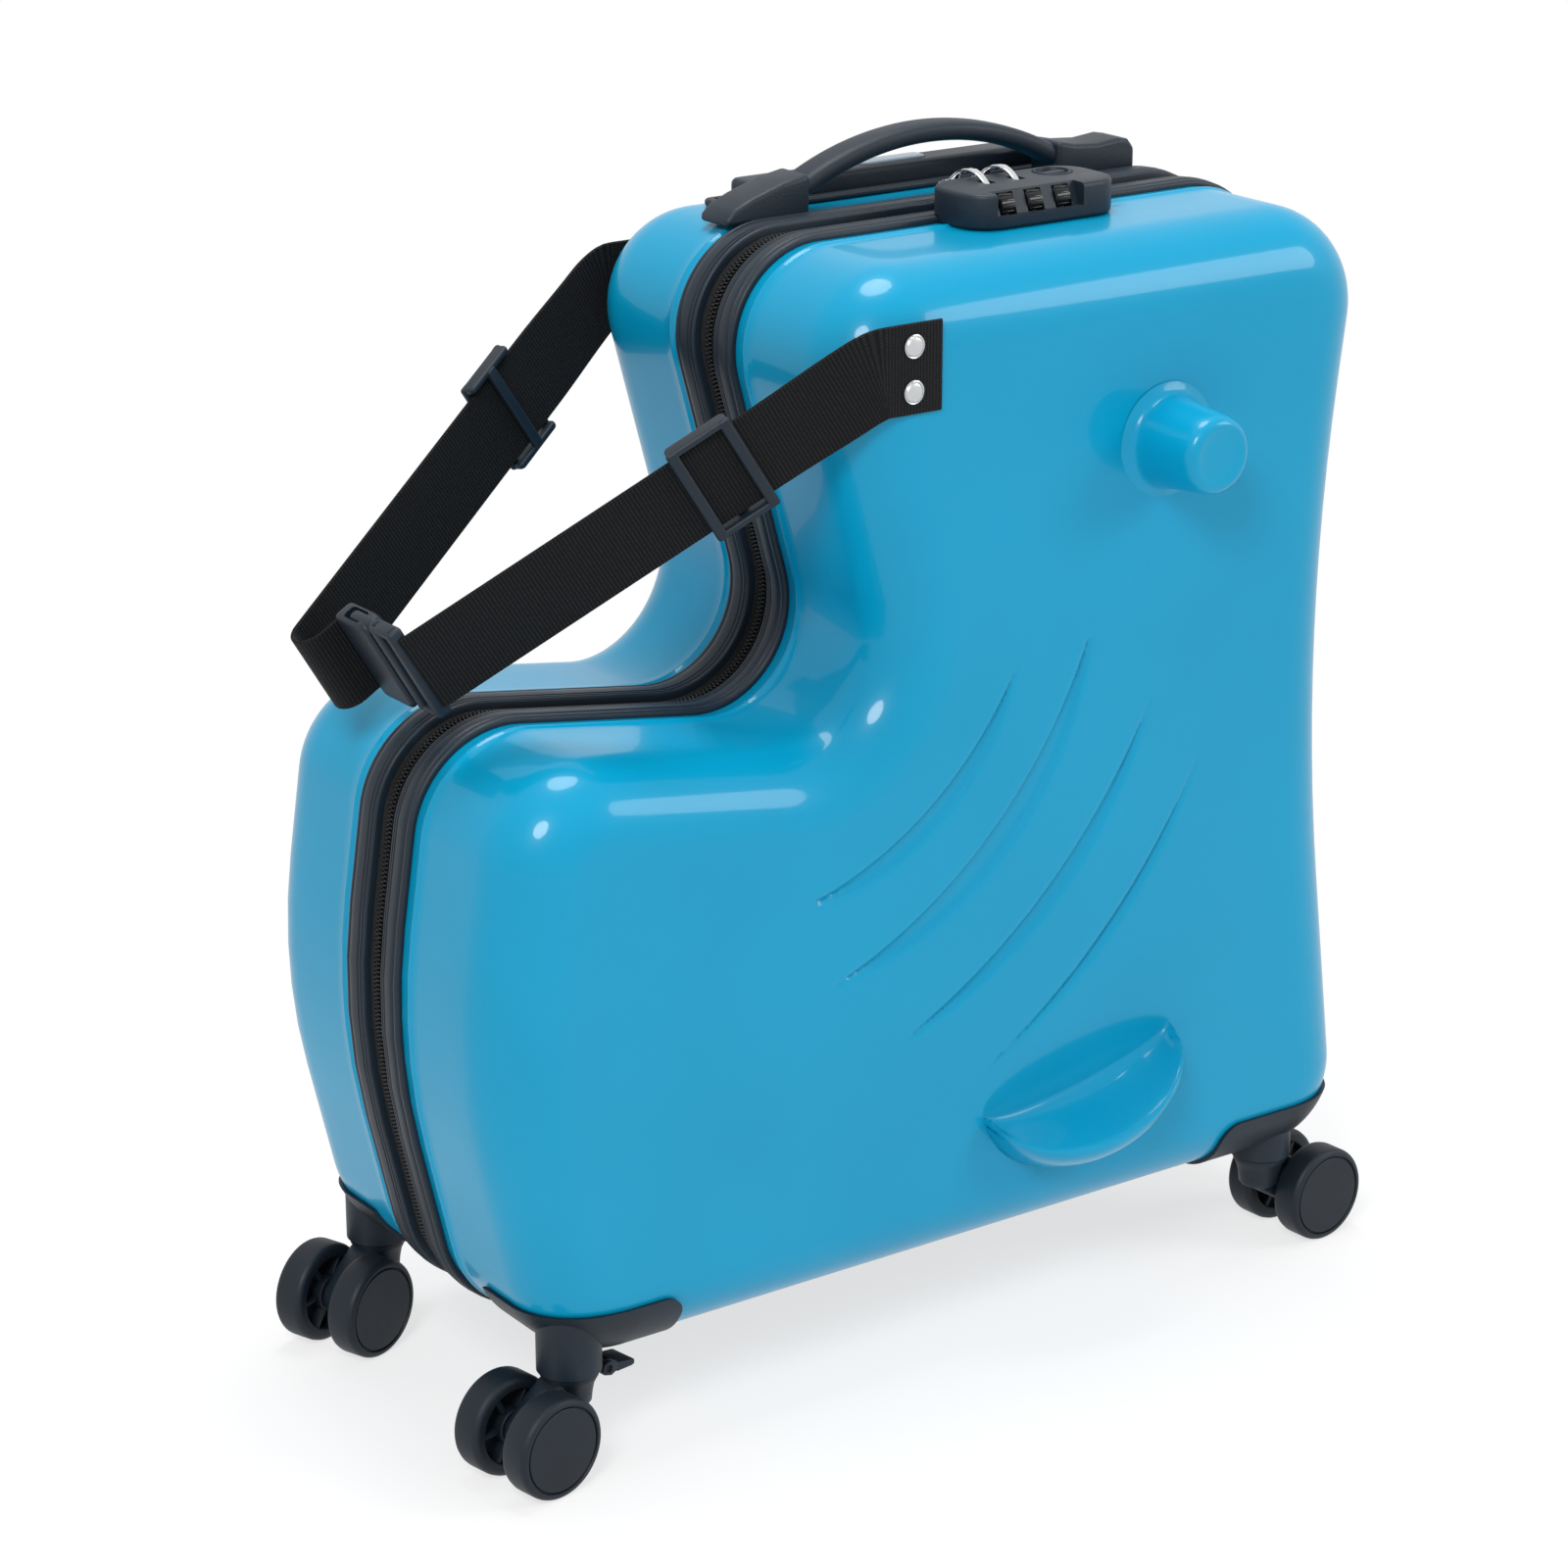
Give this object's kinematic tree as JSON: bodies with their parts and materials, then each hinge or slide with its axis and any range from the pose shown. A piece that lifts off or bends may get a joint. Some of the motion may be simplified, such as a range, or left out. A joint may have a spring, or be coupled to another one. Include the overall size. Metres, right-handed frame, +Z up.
{
  "type": "ride-on suitcase",
  "caption": "Glossy blue hard-shell ride-on suitcase with a seat, hand knobs, footrests, seat belt, lock, carry handle, trolley and swivel casters.",
  "frame": {"origin": "floor level under the middle of the case, on the seam between the two shells", "axes": "+X the riding direction, from the seat towards the tall end, +Y the rider's left, +Z up"},
  "size_m": [0.4911, 0.272, 0.5265],
  "materials": {
    "shell_blue": "glossy moulded plastic",
    "trim_black": "satin ridged trim",
    "zip_black": "woven zip tape with coil",
    "lining_grey": "woven lining",
    "strap_black": "ribbed webbing",
    "lock_black": "fine matte",
    "dial_black": "polished",
    "chrome": "polished",
    "steel": "satin",
    "handle_black": "soft matte rubber",
    "mount_black": "fine grain",
    "tube_alu": "satin anodised",
    "grip_black": "satin",
    "button_grey": "satin",
    "buckle_black": "satin",
    "caster_black": "fine grain",
    "wheel_black": "smooth satin tread"
  },
  "bodies": {
    "left_half": {"left_shell": "shell_blue", "left_trim": "trim_black", "left_zip_tape": "zip_black", "left_hinge_tape": "zip_black", "left_lining": "lining_grey", "packing_straps": "strap_black", "carry_handle_grip": "handle_black", "carry_handle_mounts": "mount_black", "trolley_bezel": "grip_black", "trolley_outer_tubes": "tube_alu", "trolley_foot": "grip_black", "left_belt": "strap_black", "left_belt_rivets": "steel", "buckle_socket": "buckle_black", "caster_bracket_front_left": "caster_black", "caster_bracket_rear_left": "caster_black"},
    "right_half": {"right_shell": "shell_blue", "right_trim": "trim_black", "right_zip_tape": "zip_black", "right_hinge_tape": "zip_black", "right_lining": "lining_grey", "lock_body": "lock_black", "lock_spindle": "steel", "zip_sliders": "chrome", "right_belt": "strap_black", "right_belt_rivets": "steel", "buckle_plug": "buckle_black", "caster_bracket_front_right": "caster_black", "caster_bracket_rear_right": "caster_black"},
    "trolley_middle_stage": {"trolley_middle_tubes": "tube_alu"},
    "trolley_inner_stage": {"trolley_inner_tubes": "tube_alu", "trolley_grip": "grip_black"},
    "trolley_release": {"trolley_button": "button_grey"},
    "left_slider": {"left_belt_slider": "buckle_black"},
    "right_slider": {"right_belt_slider": "buckle_black"},
    "dial_1": {"lock_dial_1": "dial_black"},
    "dial_2": {"lock_dial_2": "dial_black"},
    "dial_3": {"lock_dial_3": "dial_black"},
    "key_cylinder": {"lock_key_cylinder": "lock_black"},
    "pull_1": {"zip_pull_1": "chrome"},
    "pull_2": {"zip_pull_2": "chrome"},
    "fork_rear_right": {"caster_fork_rear_right": "caster_black", "caster_axle_rear_right": "steel"},
    "wheel_rear_right_a": {"caster_wheel_rear_right_a": "wheel_black"},
    "wheel_rear_right_b": {"caster_wheel_rear_right_b": "wheel_black"},
    "brake_rear_right": {"caster_brake_rear_right": "caster_black"},
    "fork_rear_left": {"caster_fork_rear_left": "caster_black", "caster_axle_rear_left": "steel"},
    "wheel_rear_left_a": {"caster_wheel_rear_left_a": "wheel_black"},
    "wheel_rear_left_b": {"caster_wheel_rear_left_b": "wheel_black"},
    "brake_rear_left": {"caster_brake_rear_left": "caster_black"},
    "fork_front_right": {"caster_fork_front_right": "caster_black", "caster_axle_front_right": "steel"},
    "wheel_front_right_a": {"caster_wheel_front_right_a": "wheel_black"},
    "wheel_front_right_b": {"caster_wheel_front_right_b": "wheel_black"},
    "fork_front_left": {"caster_fork_front_left": "caster_black", "caster_axle_front_left": "steel"},
    "wheel_front_left_a": {"caster_wheel_front_left_a": "wheel_black"},
    "wheel_front_left_b": {"caster_wheel_front_left_b": "wheel_black"}
  },
  "joints": [
    {"name": "lid_hinge", "type": "hinge", "parent": "left_half", "child": "right_half", "pos_m": [0.246, 0, 0.27], "axis": [0, 0, 1], "range_deg": [0, 180]},
    {"name": "trolley_middle_slide", "type": "slide", "parent": "left_half", "child": "trolley_middle_stage", "axis": [0, 0, 1], "range_m": [0, 0.2]},
    {"name": "trolley_inner_slide", "type": "slide", "parent": "trolley_middle_stage", "child": "trolley_inner_stage", "axis": [0, 0, 1], "range_m": [0, 0.2]},
    {"name": "trolley_button_press", "type": "slide", "parent": "trolley_inner_stage", "child": "trolley_release", "axis": [0, 0, -1], "range_m": [0, 0.003], "stiffness_N_per_m": 300},
    {"name": "left_belt_adjust", "type": "slide", "parent": "left_half", "child": "left_slider", "axis": [-0.8008, -0.2838, -0.5274], "range_m": [-0.02, 0.02]},
    {"name": "right_belt_adjust", "type": "slide", "parent": "right_half", "child": "right_slider", "axis": [-0.7849, 0.3368, -0.5202], "range_m": [-0.02, 0.02]},
    {"name": "dial_1_turn", "type": "hinge", "parent": "right_half", "child": "dial_1", "pos_m": [0.065, -0.0415, 0.503], "axis": [1, 0, 0], "continuous": true},
    {"name": "dial_2_turn", "type": "hinge", "parent": "right_half", "child": "dial_2", "pos_m": [0.08, -0.0415, 0.503], "axis": [1, 0, 0], "continuous": true},
    {"name": "dial_3_turn", "type": "hinge", "parent": "right_half", "child": "dial_3", "pos_m": [0.095, -0.0415, 0.503], "axis": [1, 0, 0], "continuous": true},
    {"name": "key_turn", "type": "hinge", "parent": "right_half", "child": "key_cylinder", "pos_m": [0.108, -0.021, 0.505], "axis": [0, 0, 1], "range_deg": [0, 90]},
    {"name": "pull_1_flip", "type": "hinge", "parent": "right_half", "child": "pull_1", "pos_m": [0.07, 0.0026, 0.503], "axis": [-1, 0, 0], "range_deg": [0, 75]},
    {"name": "pull_2_flip", "type": "hinge", "parent": "right_half", "child": "pull_2", "pos_m": [0.086, 0.0026, 0.503], "axis": [-1, 0, 0], "range_deg": [0, 75]},
    {"name": "swivel_rear_right", "type": "hinge", "parent": "right_half", "child": "fork_rear_right", "pos_m": [-0.186, -0.08, 0.046], "axis": [0, 0, 1], "continuous": true},
    {"name": "roll_rear_right_a", "type": "hinge", "parent": "fork_rear_right", "child": "wheel_rear_right_a", "pos_m": [-0.20963, -0.08417, 0.0225], "axis": [0.1736, -0.9848, 0], "continuous": true},
    {"name": "roll_rear_right_b", "type": "hinge", "parent": "fork_rear_right", "child": "wheel_rear_right_b", "pos_m": [-0.20963, -0.08417, 0.0225], "axis": [0.1736, -0.9848, 0], "continuous": true},
    {"name": "brake_rear_right_press", "type": "hinge", "parent": "fork_rear_right", "child": "brake_rear_right", "pos_m": [-0.16975, -0.07713, 0.04], "axis": [-0.1736, 0.9848, 0], "range_deg": [0, 15]},
    {"name": "swivel_rear_left", "type": "hinge", "parent": "left_half", "child": "fork_rear_left", "pos_m": [-0.186, 0.08, 0.046], "axis": [0, 0, 1], "continuous": true},
    {"name": "roll_rear_left_a", "type": "hinge", "parent": "fork_rear_left", "child": "wheel_rear_left_a", "pos_m": [-0.20855, 0.07179, 0.0225], "axis": [0.342, -0.9397, 0], "continuous": true},
    {"name": "roll_rear_left_b", "type": "hinge", "parent": "fork_rear_left", "child": "wheel_rear_left_b", "pos_m": [-0.20855, 0.07179, 0.0225], "axis": [0.342, -0.9397, 0], "continuous": true},
    {"name": "brake_rear_left_press", "type": "hinge", "parent": "fork_rear_left", "child": "brake_rear_left", "pos_m": [-0.1705, 0.08564, 0.04], "axis": [-0.342, 0.9397, 0], "range_deg": [0, 15]},
    {"name": "swivel_front_right", "type": "hinge", "parent": "right_half", "child": "fork_front_right", "pos_m": [0.198, -0.08, 0.046], "axis": [0, 0, 1], "continuous": true},
    {"name": "roll_front_right_a", "type": "hinge", "parent": "fork_front_right", "child": "wheel_front_right_a", "pos_m": [0.22194, -0.07833, 0.0225], "axis": [-0.0698, 0.9976, 0], "continuous": true},
    {"name": "roll_front_right_b", "type": "hinge", "parent": "fork_front_right", "child": "wheel_front_right_b", "pos_m": [0.22194, -0.07833, 0.0225], "axis": [-0.0698, 0.9976, 0], "continuous": true},
    {"name": "swivel_front_left", "type": "hinge", "parent": "left_half", "child": "fork_front_left", "pos_m": [0.198, 0.08, 0.046], "axis": [0, 0, 1], "continuous": true},
    {"name": "roll_front_left_a", "type": "hinge", "parent": "fork_front_left", "child": "wheel_front_left_a", "pos_m": [0.17423, 0.08334, 0.0225], "axis": [-0.1392, -0.9903, 0], "continuous": true},
    {"name": "roll_front_left_b", "type": "hinge", "parent": "fork_front_left", "child": "wheel_front_left_b", "pos_m": [0.17423, 0.08334, 0.0225], "axis": [-0.1392, -0.9903, 0], "continuous": true}
  ]
}
